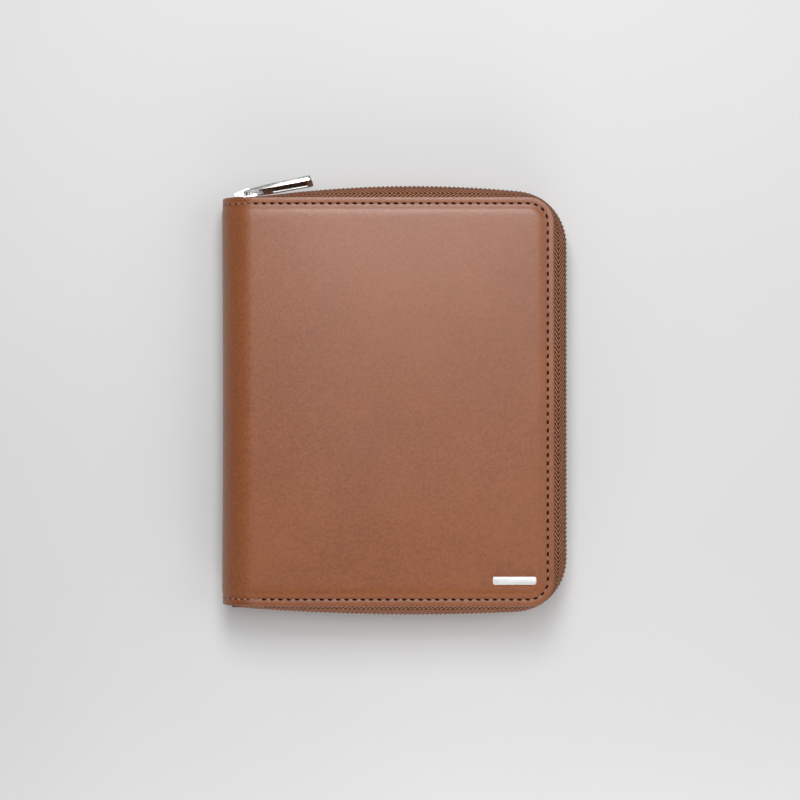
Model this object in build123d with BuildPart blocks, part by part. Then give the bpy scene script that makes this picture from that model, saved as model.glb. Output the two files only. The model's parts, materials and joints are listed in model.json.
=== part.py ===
"""Zip-around travel document organizer, closed and lying on its back cover.

Frame, in millimetres: +Z up, origin on the table under the middle of the covers, +X towards the
free edge, -X towards the spine, +Y towards the head, where the zip slider rests.

The two covers are sandwiches of leather, foam, board and lining. A soft round spine joins them and
unrolls over four fold lines. A coil zip runs round the other three sides. Everything that the two
halves have in common is built for the back half and mirrored in the middle plane.
"""

import os
from math import asin, cos, degrees, radians, sin

from build123d import *

# ---------------------------------------------------------------- driving dimensions
cover_width = 130.0       # X, from the outside of the spine to the free edge
cover_height = 159.0      # Y
thickness = 25.0          # Z, closed
corner_radius = 10.0      # the covers' two free corners
least_corner = 1.0        # below this a drawn-in corner gets no sharper

# layers of a cover, from the outside in
leather = 1.2
foam_thickness = 0.8
board_thickness = 1.2
tape_thickness = 0.6
lining = 0.8
border = 3.6              # flat sewn edge outside the padded field
padding_slope = 1.2       # run of the padded field's sloping side
tape_sewn_in = 6.0        # how far the tape reaches in between leather and lining
board_clearance = 0.3     # from the board to the tape's sewn edge
board_to_spine = 1.5      # from the board's long edge to where the spine starts to curve

# stitching
stitch_inset = 2.7        # from the cover's edge to the thread
lining_inset = 1.35       # from the cover's edge to the lining's
thread_width = 0.6
thread_depth = 0.35

# the spine's folds
strip_gap = 0.15          # from each strip of the spine to its fold line
strip_count = 3           # rigid strips that stand for the soft spine

# zip
top_bulge = 4.9           # how far the zip stands out beyond the covers at the head
side_bulge = 5.2
bottom_bulge = 3.9
bulge_apex_x = 10.0       # where along the head and foot it stands out furthest
head_end_drop = 5.1       # how much less it stands out at the slider's rest
foot_end_drop = 2.6       # and below it, at the foot
zip_corner_radius = 21.0
tape_rise = 5.0           # height of the tape's slant, from the cover's edge to its upright wall
chain_gap = 1.0           # between the two rows of the closed zip
coil_width = 2.6
coil_thickness = 2.0
back_tape_end = 2.5       # from the outside of the spine to the end of the back tape
front_tape_end = 4.5
front_coil_end = 17.0     # the front coil starts behind the resting slider
stop_length = 1.6
stop_height = 0.3         # how far an end stop stands out of the coil
side_clearance = 0.3      # from the tape to the spine's ends

# zip slider, in its own directions: along the zip, outwards, and across
slider_from_spine = 9.5   # from the outside of the spine to the slider's middle
slider_nose = 5.0
slider_tail = 5.5
slider_nose_width = 9.2
slider_tail_width = 8.2
slider_plate = 0.6
slider_clearance = 0.3
post_thickness = 0.6
post_length = 2.4
post_from_nose = 0.8
plate_corner = 1.2
bail_width = 2.2
bail_wall = 0.65
bail_front = 4.7          # from the slider's middle towards its nose
bail_back = 2.4
bail_nose_rise = 1.9      # height over the plate at the nose; it slopes up towards the tail
bail_tail_rise = 3.5
bail_corner = 1.0
pivot_u = 0.4             # where the pull's cross bar sits, along the zip
pivot_rise = 1.4          # from the plate to the cross bar's middle
bar_radius = 0.5

# zip pull
pull_length = 26.5
pull_width = 7.0
pull_thickness = 2.0
eye_width = 5.0
eye_window = 3.2
neck_start = 6.6
neck_end = 8.2
recess_start = 10.5
recess_end = 24.3
recess_width = 4.6
recess_depth = 0.4
recess_corner = 0.65
pull_lift = 2.3           # degrees that the pull stands off the zip
pull_lean = 18.0          # degrees that its upper edge leans outwards
pull_corner = 1.3         # radius of the tag's corners
pull_edge = 0.25          # rounding of the tag's rim

# pockets inside
panel = 0.8
pocket_gap = 0.4
seam = 2.0                # sewn edge of a pocket
card_width = 85.6
card_ease = 4.4
card_slot_depth = 46.0
card_step = 14.0
card_slots = 4
passport_width = 88.0
passport_ease = 3.0
passport_pocket_height = 96.0
ticket_pocket_height = 74.0
pocket_from_spine = 27.0  # from the outside of the spine to the pockets' open edge
pocket_margin = 6.5       # from the cover's other edges to the pockets
thumb_notch = 11.0        # radius
pen_radius = 4.6
elastic = 0.8
pen_loop_length = 22.0
pen_loop_y = 20.0
pen_from_spine = 20.5
pen_tab = 12.0            # width of the loop's sewn foot

# plain metal bar in the corner of the front cover
badge_length = 17.0
badge_width = 3.0
badge_thickness = 0.7
badge_corner = 0.8
badge_prong = 0.5         # radius
badge_prong_inset = 2.0   # from the badge's end to the prong's middle
badge_hole_clearance = 0.1
badge_from_edge = 15.7    # from the free edge to the badge's middle
badge_from_foot = 10.2

# ---------------------------------------------------------------- derived places
spine_radius = thickness / 2
lining_radius = spine_radius - leather           # outside of the spine's lining
middle = Plane.XY.offset(thickness / 2)
spine_x = -cover_width / 2 + spine_radius       # where the covers turn into the round spine
free_x = cover_width / 2
head_y = cover_height / 2
fold_angle = 180.0 / (strip_count + 1)

border_z = foam_thickness                       # outside of the sewn border
tape_z = border_z + leather
board_top = tape_z + board_thickness
lining_top = board_top + lining
lining_border_z = tape_z + tape_thickness
board_x = spine_x + board_to_spine

back_edge_z = thickness / 2 - chain_gap / 2     # edge of the back row of the zip
head_zip_y = head_y + top_bulge
foot_zip_y = -head_y - bottom_bulge
side_zip_x = free_x + side_bulge
slider_x = -cover_width / 2 + slider_from_spine
slider_reach = bulge_apex_x - slider_x
head_bow = (slider_reach**2 + head_end_drop**2) / (2 * head_end_drop)
foot_bow = (slider_reach**2 + foot_end_drop**2) / (2 * foot_end_drop)
slider_slope = degrees(asin(slider_reach / head_bow))
slider_y = head_zip_y - head_bow + head_bow * cos(radians(slider_slope))

sleeve_x = -cover_width / 2 + pocket_from_spine
pocket_free_x = free_x - pocket_margin
pocket_foot_y = -head_y + pocket_margin


def cover_outline(inset, spine_edge):
    """A cover's outline, square at the spine and round at the free corners, drawn in by inset."""
    radius = max(corner_radius - inset, least_corner)
    right = free_x - inset
    top = head_y - inset
    with BuildSketch(mode=Mode.PRIVATE) as outline:
        with BuildLine():
            Line((spine_edge, -top), (right - radius, -top))
            RadiusArc((right - radius, -top), (right, -top + radius), -radius)
            Line((right, -top + radius), (right, top - radius))
            RadiusArc((right, top - radius), (right - radius, top), -radius)
            Line((right - radius, top), (spine_edge, top))
            Line((spine_edge, top), (spine_edge, -top))
        make_face()
    return outline.sketch


def zip_outline(inset):
    """The plan of the zip's outer face, drawn in by inset, closed behind the spine."""

    def head_point(x):
        return x, head_zip_y - head_bow + ((head_bow - inset) ** 2 - (x - bulge_apex_x) ** 2) ** 0.5

    def foot_point(x):
        return x, foot_zip_y + foot_bow - ((foot_bow - inset) ** 2 - (x - bulge_apex_x) ** 2) ** 0.5

    left = -cover_width / 2
    side = side_zip_x - inset
    with BuildSketch(mode=Mode.PRIVATE) as outline:
        with BuildLine():
            ThreePointArc(head_point(left), head_point(bulge_apex_x), head_point(side))
            Line(head_point(side), foot_point(side))
            ThreePointArc(foot_point(side), foot_point(bulge_apex_x), foot_point(left))
            Line(foot_point(left), head_point(left))
        make_face()
        corners = outline.vertices().group_by(Axis.X)[-1]
        fillet(corners, radius=zip_corner_radius - inset)
    return outline.sketch


def spine_sector(outer_radius, inner_radius, start_fold, end_fold, start_gap, end_gap):
    """The plan of one strip of the spine in XZ, between two fold lines counted from the back cover."""

    def cut_line(fold, shift):
        angle = radians(fold)
        outwards = (-sin(angle), -cos(angle))
        along = (-cos(angle), sin(angle))
        near = Vector(spine_x, thickness / 2) + Vector(*along) * shift
        return near, Vector(*outwards)

    def point(fold, shift, radius):
        near, outwards = cut_line(fold, shift)
        return near + outwards * (radius**2 - shift**2) ** 0.5

    half = (start_fold + end_fold) / 2
    with BuildSketch(Plane.XZ, mode=Mode.PRIVATE) as sector:
        with BuildLine():
            ThreePointArc(
                point(start_fold, start_gap, outer_radius),
                point(half, 0, outer_radius),
                point(end_fold, -end_gap, outer_radius),
            )
            Line(point(end_fold, -end_gap, outer_radius), point(end_fold, -end_gap, inner_radius))
            ThreePointArc(
                point(end_fold, -end_gap, inner_radius),
                point(half, 0, inner_radius),
                point(start_fold, start_gap, inner_radius),
            )
            Line(point(start_fold, start_gap, inner_radius), point(start_fold, start_gap, outer_radius))
        make_face()
    return sector.sketch


def pocket_panel(low_x, high_x, low_y, high_y, base_z, open_side):
    """A pocket panel over base_z, with a sewn edge on three sides and the fourth open."""
    width = high_x - low_x
    height = high_y - low_y
    centre_x = (low_x + high_x) / 2
    centre_y = (low_y + high_y) / 2
    with BuildPart(mode=Mode.PRIVATE) as pocket:
        with BuildSketch(Plane.XY.offset(base_z)):
            with Locations((centre_x, centre_y)):
                Rectangle(width, height)
        extrude(amount=pocket_gap + panel)
        with BuildSketch(Plane.XY.offset(base_z)):
            if open_side == "spine":
                with Locations((centre_x - seam / 2, centre_y)):
                    Rectangle(width - seam, height - 2 * seam)
            else:
                with Locations((centre_x, centre_y + seam / 2)):
                    Rectangle(width - 2 * seam, height - seam)
        extrude(amount=pocket_gap, mode=Mode.SUBTRACT)
    return pocket.part


os.makedirs("parts", exist_ok=True)

# ---------------------------------------------------------------- the covers, back half first
with BuildPart() as back_cover_leather:
    with BuildSketch(Plane.XY.offset(border_z)):
        add(cover_outline(0, spine_x))
    extrude(amount=leather)
    with BuildSketch(Plane.XY.offset(border_z)):
        add(cover_outline(border, spine_x))
    with BuildSketch(Plane.XY):
        add(cover_outline(border + padding_slope, spine_x))
    loft()
    with BuildSketch(Plane.XY.offset(tape_z)):
        add(cover_outline(border + leather, board_x))
    with BuildSketch(Plane.XY.offset(leather)):
        add(cover_outline(border + leather + padding_slope, board_x))
    loft(mode=Mode.SUBTRACT)
    # beside the spine the leather is flat and single
    with BuildSketch(Plane.XY.offset(leather)):
        with Locations((spine_x, 0)):
            Rectangle(board_to_spine, cover_height, align=(Align.MIN, Align.CENTER))
    extrude(amount=tape_z - leather, mode=Mode.SUBTRACT)
    with BuildSketch(Plane.XY):
        with Locations((spine_x, 0)):
            Rectangle(board_to_spine, cover_height, align=(Align.MIN, Align.CENTER))
    extrude(amount=leather)
    with BuildSketch(Plane.XZ):
        add(spine_sector(spine_radius, spine_radius - leather, 0, fold_angle / 2, 0, strip_gap))
    extrude(amount=cover_height / 2, both=True)
    # groove for the thread
    with BuildSketch(Plane.XY.offset(border_z)):
        add(cover_outline(stitch_inset - thread_width / 2, board_x))
        add(cover_outline(stitch_inset + thread_width / 2, spine_x), mode=Mode.SUBTRACT)
    extrude(amount=thread_depth, mode=Mode.SUBTRACT)

with BuildPart() as back_cover_foam:
    with BuildSketch(Plane.XY.offset(tape_z)):
        add(cover_outline(border + leather, board_x))
    with BuildSketch(Plane.XY.offset(leather)):
        add(cover_outline(border + leather + padding_slope, board_x))
    loft()

with BuildPart() as back_cover_board:
    with BuildSketch(Plane.XY.offset(tape_z)):
        add(cover_outline(tape_sewn_in + board_clearance, board_x))
    extrude(amount=board_thickness)

with BuildPart() as back_stitch_thread:
    with BuildSketch(Plane.XY.offset(border_z)):
        add(cover_outline(stitch_inset - thread_width / 2, board_x))
        add(cover_outline(stitch_inset + thread_width / 2, spine_x), mode=Mode.SUBTRACT)
    extrude(amount=thread_depth)

with BuildPart() as back_cover_lining:
    with BuildSketch(Plane.XY.offset(lining_border_z)):
        add(cover_outline(lining_inset, board_x - lining))
    extrude(amount=lining_top - lining_border_z)
    with BuildSketch(Plane.XY.offset(lining_border_z)):
        add(cover_outline(tape_sewn_in + board_clearance, board_x))
    extrude(amount=board_top - lining_border_z, mode=Mode.SUBTRACT)
    with BuildSketch(Plane.XY.offset(lining_top)):
        add(cover_outline(0, board_x - lining))
        add(cover_outline(tape_sewn_in + board_clearance - lining, board_x - lining), mode=Mode.SUBTRACT)
    extrude(amount=lining_border_z + lining - lining_top, mode=Mode.SUBTRACT)
    with BuildSketch(Plane.XZ):
        with Locations((board_x - lining / 2, (leather + lining_top) / 2)):
            Rectangle(lining, lining_top - leather)
        with Locations(((board_x - lining + spine_x) / 2, leather + lining / 2)):
            Rectangle(board_x - lining - spine_x, lining)
        add(spine_sector(lining_radius, lining_radius - lining, 0, fold_angle / 2, 0, strip_gap))
    extrude(amount=head_y - lining_inset, both=True)


# ---------------------------------------------------------------- zip tapes, coils and stops
def zip_tape(end_from_spine):
    """The back zip tape, whose ends stop short of the spine's outside by end_from_spine."""
    end_x = -cover_width / 2 + end_from_spine
    wall_z = tape_z + tape_rise
    clear_z = lining_top + side_clearance
    with BuildPart(mode=Mode.PRIVATE) as tape:
        with BuildSketch(Plane.XY.offset(wall_z)):
            add(zip_outline(0))
        extrude(amount=back_edge_z - wall_z)
        with BuildSketch(Plane.XY.offset(tape_z)):
            add(cover_outline(0, -cover_width / 2))
        with BuildSketch(Plane.XY.offset(wall_z)):
            add(zip_outline(0))
        loft(ruled=True)
        with BuildSketch(Plane.XY.offset(wall_z)):
            add(zip_outline(tape_thickness))
        extrude(amount=back_edge_z - wall_z, mode=Mode.SUBTRACT)
        with BuildSketch(Plane.XY.offset(lining_border_z)):
            add(cover_outline(tape_thickness / 2, -cover_width / 2))
        with BuildSketch(Plane.XY.offset(wall_z)):
            add(zip_outline(tape_thickness))
        loft(ruled=True, mode=Mode.SUBTRACT)
        with BuildSketch(Plane.XY.offset(tape_z)):
            add(cover_outline(tape_sewn_in, -cover_width / 2))
        extrude(amount=tape_thickness, mode=Mode.SUBTRACT)
        with BuildSketch(Plane.XY):
            with Locations((end_x, 0)):
                Rectangle(cover_width, 2 * cover_height, align=(Align.MAX, Align.CENTER))
        extrude(amount=thickness, mode=Mode.SUBTRACT)
        # clear of the spine: what is left there lies within the round lining
        with BuildSketch(Plane.XZ):
            with Locations((board_x, 0)):
                Rectangle(cover_width, thickness, align=(Align.MAX, Align.MIN))
            with Locations((spine_x, thickness / 2)):
                Circle(lining_radius - lining - side_clearance, mode=Mode.SUBTRACT)
            with Locations((board_x, 0)):
                Rectangle(board_to_spine + lining, clear_z, align=(Align.MAX, Align.MIN))
            with Locations((board_x, clear_z)):
                Rectangle(board_to_spine, thickness, align=(Align.MAX, Align.MIN), mode=Mode.SUBTRACT)
        extrude(amount=head_y + side_clearance, both=True, mode=Mode.SUBTRACT)
    return tape.part


def zip_row(start_x, end_x, inset, height):
    """A stretch of the back zip's coil band between two places along X, grown by height on its inner face."""
    with BuildPart(mode=Mode.PRIVATE) as row:
        with BuildSketch(Plane.XY.offset(back_edge_z - coil_width)):
            add(zip_outline(inset))
            add(zip_outline(inset + height), mode=Mode.SUBTRACT)
            with Locations((start_x, 0)):
                Rectangle(
                    end_x - start_x,
                    2 * cover_height,
                    align=(Align.MIN, Align.CENTER),
                    mode=Mode.INTERSECT,
                )
        extrude(amount=coil_width)
    return row.part


stop_x = -cover_width / 2 + back_tape_end
coil_end_x = side_zip_x + coil_width

with BuildPart() as back_zip_tape:
    add(zip_tape(back_tape_end))

with BuildPart() as back_zip_coil:
    add(zip_row(stop_x + stop_length, coil_end_x, tape_thickness, coil_thickness))

with BuildPart() as zip_end_stops:
    add(zip_row(stop_x, stop_x + stop_length, tape_thickness, coil_thickness + stop_height))

# ---------------------------------------------------------------- pockets of the back half
back_sleeve_z = lining_top
passport_z = back_sleeve_z + pocket_gap + panel
ticket_z = passport_z + pocket_gap + panel
passport_x = pocket_free_x - passport_width - passport_ease - 2 * seam
pocket_mid_x = (passport_x + pocket_free_x) / 2
passport_top = pocket_foot_y + passport_pocket_height

with BuildPart() as back_sleeve:
    add(pocket_panel(sleeve_x, pocket_free_x, pocket_foot_y, -pocket_foot_y, back_sleeve_z, "spine"))

with BuildPart() as passport_pocket:
    add(pocket_panel(passport_x, pocket_free_x, pocket_foot_y, passport_top, passport_z, "head"))
    with BuildSketch(Plane.XY.offset(passport_z)):
        with Locations((pocket_mid_x, passport_top)):
            Circle(thumb_notch)
    extrude(amount=pocket_gap + panel, mode=Mode.SUBTRACT)

with BuildPart() as ticket_pocket:
    add(
        pocket_panel(
            passport_x,
            pocket_free_x,
            pocket_foot_y,
            pocket_foot_y + ticket_pocket_height,
            ticket_z,
            "head",
        )
    )

pen_x = -cover_width / 2 + pen_from_spine
pen_z = lining_top + elastic + pen_radius
with BuildPart() as pen_loop:
    with BuildSketch(Plane.XZ.offset(-pen_loop_y - pen_loop_length / 2)):
        with Locations((pen_x, lining_top + elastic / 2)):
            Rectangle(pen_tab, elastic)
        with Locations((pen_x, pen_z)):
            Circle(pen_radius + elastic)
            Circle(pen_radius, mode=Mode.SUBTRACT)
    extrude(amount=pen_loop_length)

# ---------------------------------------------------------------- the front half
badge_x = free_x - badge_from_edge
badge_y = -head_y + badge_from_foot
prong_spacing = badge_length - 2 * badge_prong_inset

with BuildPart() as front_cover_leather:
    mirror(back_cover_leather.part, about=middle)
    with BuildSketch(Plane.XY.offset(thickness)):
        with Locations((badge_x, badge_y)):
            with GridLocations(prong_spacing, 0, 2, 1):
                Circle(badge_prong + badge_hole_clearance)
    extrude(amount=-leather, mode=Mode.SUBTRACT)

with BuildPart() as front_cover_foam:
    mirror(back_cover_foam.part, about=middle)

with BuildPart() as front_cover_board:
    mirror(back_cover_board.part, about=middle)

with BuildPart() as front_cover_lining:
    mirror(back_cover_lining.part, about=middle)

with BuildPart() as front_stitch_thread:
    mirror(back_stitch_thread.part, about=middle)

with BuildPart() as front_zip_tape:
    mirror(zip_tape(front_tape_end), about=middle)

with BuildPart() as front_zip_coil:
    mirror(
        zip_row(-cover_width / 2 + front_coil_end, coil_end_x, tape_thickness, coil_thickness),
        about=middle,
    )

with BuildPart() as front_sleeve:
    mirror(back_sleeve.part, about=middle)

with BuildPart() as corner_badge:
    with BuildSketch(Plane.XY.offset(thickness)):
        with Locations((badge_x, badge_y)):
            RectangleRounded(badge_length, badge_width, badge_corner)
    extrude(amount=badge_thickness)
    with BuildSketch(Plane.XY.offset(thickness)):
        with Locations((badge_x, badge_y)):
            with GridLocations(prong_spacing, 0, 2, 1):
                Circle(badge_prong)
    extrude(amount=-leather)

card_x = pocket_free_x - card_width - card_ease - 2 * seam
card_slot_parts = []
for number in range(card_slots):
    slot_top = pocket_foot_y + card_slot_depth + (card_slots - 1 - number) * card_step
    slot_z = passport_z + number * (pocket_gap + panel)
    with BuildPart() as card_slot:
        mirror(
            pocket_panel(card_x, pocket_free_x, pocket_foot_y, slot_top, slot_z, "head"),
            about=middle,
        )
    card_slot_parts.append(card_slot)

# ---------------------------------------------------------------- the spine's strips
strip_names = ["low", "mid", "high"]
spine_leathers = []
spine_linings = []
for number in range(strip_count):
    first_fold = (number + 0.5) * fold_angle
    last_fold = first_fold + fold_angle
    with BuildPart() as strip_leather:
        with BuildSketch(Plane.XZ):
            add(
                spine_sector(
                    spine_radius, spine_radius - leather, first_fold, last_fold, strip_gap, strip_gap
                )
            )
        extrude(amount=cover_height / 2, both=True)
    with BuildPart() as strip_lining:
        with BuildSketch(Plane.XZ):
            add(
                spine_sector(
                    lining_radius, lining_radius - lining, first_fold, last_fold, strip_gap, strip_gap
                )
            )
        extrude(amount=head_y - lining_inset, both=True)
    spine_leathers.append(strip_leather)
    spine_linings.append(strip_lining)

# ---------------------------------------------------------------- zip slider and pull
slider_plane = Plane(
    origin=(slider_x, slider_y, thickness / 2),
    x_dir=(cos(radians(slider_slope)), sin(radians(slider_slope)), 0),
    z_dir=(0, 0, 1),
)
outwards = slider_plane.y_dir
plate_plane = Plane(origin=slider_plane.origin, x_dir=slider_plane.x_dir, z_dir=outwards)
outer_plate_v = slider_clearance
inner_plate_v = -tape_thickness - coil_thickness - slider_clearance - slider_plate
flange_top_v = -tape_thickness - slider_clearance
coil_side = chain_gap / 2 + coil_width + slider_clearance
pivot_v = outer_plate_v + slider_plate + pivot_rise


def slider_plan():
    """The slider's plates seen from outside, wider at the mouth where the rows part."""
    with BuildSketch(mode=Mode.PRIVATE) as plan:
        with BuildLine():
            Polyline(
                (-slider_nose, -slider_nose_width / 2),
                (slider_tail, -slider_tail_width / 2),
                (slider_tail, slider_tail_width / 2),
                (-slider_nose, slider_nose_width / 2),
                close=True,
            )
        make_face()
        fillet(plan.vertices(), radius=plate_corner)
    return plan.sketch


with BuildPart() as slider_body:
    with BuildSketch(plate_plane.offset(outer_plate_v)):
        add(slider_plan())
    extrude(amount=slider_plate)
    with BuildSketch(plate_plane.offset(inner_plate_v)):
        add(slider_plan())
    extrude(amount=slider_plate)
    with BuildSketch(plate_plane.offset(inner_plate_v)):
        add(slider_plan())
        Rectangle(2 * cover_width, 2 * coil_side, mode=Mode.SUBTRACT)
    extrude(amount=flange_top_v - inner_plate_v)
    with BuildSketch(plate_plane.offset(inner_plate_v)):
        with Locations((-slider_nose + post_from_nose + post_length / 2, 0)):
            SlotOverall(post_length, post_thickness)
    extrude(amount=outer_plate_v - inner_plate_v)

bail_foot_v = outer_plate_v + slider_plate


def bail_outline(inset):
    """The bail's side, drawn in by inset except at its foot, rising from the nose to the tail."""
    front = -bail_front + inset
    back = bail_back - inset
    slope = (bail_tail_rise - bail_nose_rise) / (bail_front + bail_back)
    nose_v = bail_foot_v + bail_nose_rise - inset + slope * inset
    tail_v = bail_foot_v + bail_tail_rise - inset - slope * inset
    with BuildSketch(mode=Mode.PRIVATE) as side:
        with BuildLine():
            Polyline((front, bail_foot_v), (front, nose_v), (back, tail_v), (back, bail_foot_v), close=True)
        make_face()
        upper = side.vertices().filter_by(lambda vertex: vertex.Y > bail_foot_v + bail_wall / 2)
        fillet(upper, radius=bail_corner - inset)
    return side.sketch


with BuildPart() as slider_bail:
    with BuildSketch(slider_plane.offset(-bail_width / 2)):
        add(bail_outline(0))
        add(bail_outline(bail_wall), mode=Mode.SUBTRACT)
    extrude(amount=bail_width)

# the pull's own plane: X along it, Y across it, Z outwards, origin in its cross bar
pull_angle = radians(slider_slope + pull_lift)
pivot = slider_plane.from_local_coords((pivot_u, pivot_v, 0))
pull_dir = Vector(cos(pull_angle), sin(pull_angle), 0)
pull_out = Vector(-sin(pull_angle), cos(pull_angle), 0).rotate(Axis((0, 0, 0), pull_dir), -pull_lean)
pull_plane = Plane(origin=pivot, x_dir=pull_dir, z_dir=pull_out)
eye_thickness = 2 * bar_radius
tag_length = pull_length - neck_start

with BuildPart() as zip_pull:
    with BuildSketch(pull_plane.offset(-pull_thickness / 2)) as tag:
        with Locations((neck_start, 0)):
            Rectangle(tag_length, pull_width, align=(Align.MIN, Align.CENTER))
        fillet(tag.vertices(), radius=pull_corner)
    extrude(amount=pull_thickness)
    chamfer(zip_pull.edges().filter_by(GeomType.LINE).filter_by(Axis(pivot, pull_dir)), length=pull_edge)
    with BuildSketch(pull_plane.offset(-eye_thickness / 2)) as eye:
        with Locations((0, 0)):
            Rectangle(neck_end, eye_width, align=(Align.MIN, Align.CENTER))
        with Locations((bar_radius, 0)):
            Rectangle(
                neck_start - bar_radius,
                eye_window,
                align=(Align.MIN, Align.CENTER),
                mode=Mode.SUBTRACT,
            )
    extrude(amount=eye_thickness)
    with BuildSketch(Plane(origin=pivot, x_dir=pull_dir, z_dir=pull_plane.y_dir).offset(-eye_width / 2)):
        Circle(bar_radius)
    extrude(amount=eye_width)
    # a plain recess in each face
    with BuildSketch(pull_plane.offset(pull_thickness / 2 - recess_depth)):
        with Locations(((recess_start + recess_end) / 2, 0)):
            RectangleRounded(recess_end - recess_start, recess_width, recess_corner)
    extrude(amount=recess_depth, mode=Mode.SUBTRACT)
    with BuildSketch(pull_plane.offset(-pull_thickness / 2)):
        with Locations(((recess_start + recess_end) / 2, 0)):
            RectangleRounded(recess_end - recess_start, recess_width, recess_corner)
    extrude(amount=recess_depth, mode=Mode.SUBTRACT)

# ---------------------------------------------------------------- one STEP file for each piece
pieces = {
    "back_cover_leather": back_cover_leather,
    "back_cover_foam": back_cover_foam,
    "back_cover_board": back_cover_board,
    "back_cover_lining": back_cover_lining,
    "back_stitch_thread": back_stitch_thread,
    "back_zip_tape": back_zip_tape,
    "back_zip_coil": back_zip_coil,
    "zip_end_stops": zip_end_stops,
    "back_sleeve": back_sleeve,
    "passport_pocket": passport_pocket,
    "ticket_pocket": ticket_pocket,
    "pen_loop": pen_loop,
    "front_cover_leather": front_cover_leather,
    "front_cover_foam": front_cover_foam,
    "front_cover_board": front_cover_board,
    "front_cover_lining": front_cover_lining,
    "front_stitch_thread": front_stitch_thread,
    "front_zip_tape": front_zip_tape,
    "front_zip_coil": front_zip_coil,
    "front_sleeve": front_sleeve,
    "corner_badge": corner_badge,
    "slider_body": slider_body,
    "slider_bail": slider_bail,
    "zip_pull": zip_pull,
}
for number, card_slot in enumerate(card_slot_parts, start=1):
    pieces[f"card_slot_{number}"] = card_slot
for strip_name, strip_leather, strip_lining in zip(strip_names, spine_leathers, spine_linings):
    pieces[f"spine_leather_{strip_name}"] = strip_leather
    pieces[f"spine_lining_{strip_name}"] = strip_lining

for name, piece in pieces.items():
    piece.part.label = name
    export_step(piece.part, f"parts/{name}.step")
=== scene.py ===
"""Zip-around leather travel organizer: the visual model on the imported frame. Metres, +Z up."""

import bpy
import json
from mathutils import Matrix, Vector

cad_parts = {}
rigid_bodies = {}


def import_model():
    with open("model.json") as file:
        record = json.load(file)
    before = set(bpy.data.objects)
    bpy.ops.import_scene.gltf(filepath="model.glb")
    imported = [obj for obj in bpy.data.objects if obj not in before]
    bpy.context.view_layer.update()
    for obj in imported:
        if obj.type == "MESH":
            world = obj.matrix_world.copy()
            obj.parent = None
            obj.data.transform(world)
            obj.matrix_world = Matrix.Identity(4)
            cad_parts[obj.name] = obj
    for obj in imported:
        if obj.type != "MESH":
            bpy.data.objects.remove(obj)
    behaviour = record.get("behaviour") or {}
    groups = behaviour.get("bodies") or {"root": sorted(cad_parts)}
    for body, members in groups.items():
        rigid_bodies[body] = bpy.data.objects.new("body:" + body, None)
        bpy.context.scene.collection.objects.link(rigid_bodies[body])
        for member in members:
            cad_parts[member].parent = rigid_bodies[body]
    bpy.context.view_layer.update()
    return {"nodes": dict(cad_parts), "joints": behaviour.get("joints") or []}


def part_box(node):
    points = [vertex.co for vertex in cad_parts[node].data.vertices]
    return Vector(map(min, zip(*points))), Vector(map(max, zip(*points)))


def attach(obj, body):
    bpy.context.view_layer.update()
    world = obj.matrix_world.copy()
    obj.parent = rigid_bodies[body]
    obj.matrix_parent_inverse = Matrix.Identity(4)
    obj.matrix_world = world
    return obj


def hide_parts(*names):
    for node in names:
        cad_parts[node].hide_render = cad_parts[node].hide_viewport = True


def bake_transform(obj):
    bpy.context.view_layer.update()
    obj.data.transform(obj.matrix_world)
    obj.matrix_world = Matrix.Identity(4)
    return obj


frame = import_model()

import json
from math import acos, cos, hypot, pi, radians, sin, sqrt

import bpy
from mathutils import Matrix, Vector

MM = 0.001

# ---- camera, floor and light
camera_height = 845 * MM
view_centre = Vector((5.0, 0.6, 0)) * MM
seen_width = 309.7 * MM      # across the view, at the front cover

in_scene = bpy.context.scene.collection.objects
camera = bpy.data.objects.new("camera", bpy.data.cameras.new("camera"))
in_scene.link(camera)
camera.location = (view_centre.x, view_centre.y, camera_height)
camera.data.sensor_width = 36
camera.data.lens = 36 * (camera_height - 25 * MM) / seen_width
camera.data.clip_start = 0.01
bpy.context.scene.camera = camera
bpy.context.scene.view_settings.view_transform = "Standard"


def soft_box(name, place, aim, width, height, watts, colour=(1.0, 1.0, 1.0)):
    """A rectangular studio light at place, turned towards aim."""
    light = bpy.data.lights.new(name, "AREA")
    light.shape = "RECTANGLE"
    light.size = width
    light.size_y = height
    light.energy = watts
    light.color = colour
    lamp = bpy.data.objects.new(name, light)
    lamp.location = place
    lamp.rotation_euler = (Vector(aim) - Vector(place)).to_track_quat("-Z", "Y").to_euler()
    in_scene.link(lamp)


soft_box("top_light", (0.0, 0.44, 1.45), (0, 0.02, 0), 0.7, 0.7, 6.1)
soft_box("near_light", (0.0, 0.34, 0.5), (0, 0.08, 0), 0.26, 0.26, 1.9)
soft_box("side_light", (0.9, 0.1, 0.8), (0, 0, 0), 0.8, 0.8, 2.6, (1.0, 0.99, 0.98))
soft_box("foot_light", (0.25, -0.95, 0.45), (0, 0, 0), 0.9, 0.7, 2.6)
soft_box("low_light", (0.02, -0.34, 0.08), (0, -0.09, 0), 0.5, 0.08, 0.5)
world = bpy.data.worlds.new("studio")
world.use_nodes = True
sky = world.node_tree.nodes["Background"].inputs
sky["Color"].default_value = (0.98, 0.99, 1.0, 1)
sky["Strength"].default_value = 0.24
bpy.context.scene.world = world

# ---- places from the frame
free_x, head_y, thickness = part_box("front_cover_leather")[1]
tape_low, tape_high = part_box("back_zip_tape")
coil_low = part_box("back_zip_coil")[0]
middle_z = thickness / 2
spine_radius = middle_z
spine_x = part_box("spine_leather_mid")[0].x + spine_radius
joints = {joint["name"]: joint for joint in frame["joints"]}
bow_centre = Vector(joints["slider_travel"]["pos_m"][:2])
pivot = Vector(joints["pull_swing"]["pos_m"])

cover_corner = 10 * MM
zip_corner = 21 * MM
side_zip_x = tape_high.x
head_bow = tape_high.y - bow_centre.y
foot_bow = 826.3 * MM

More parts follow.
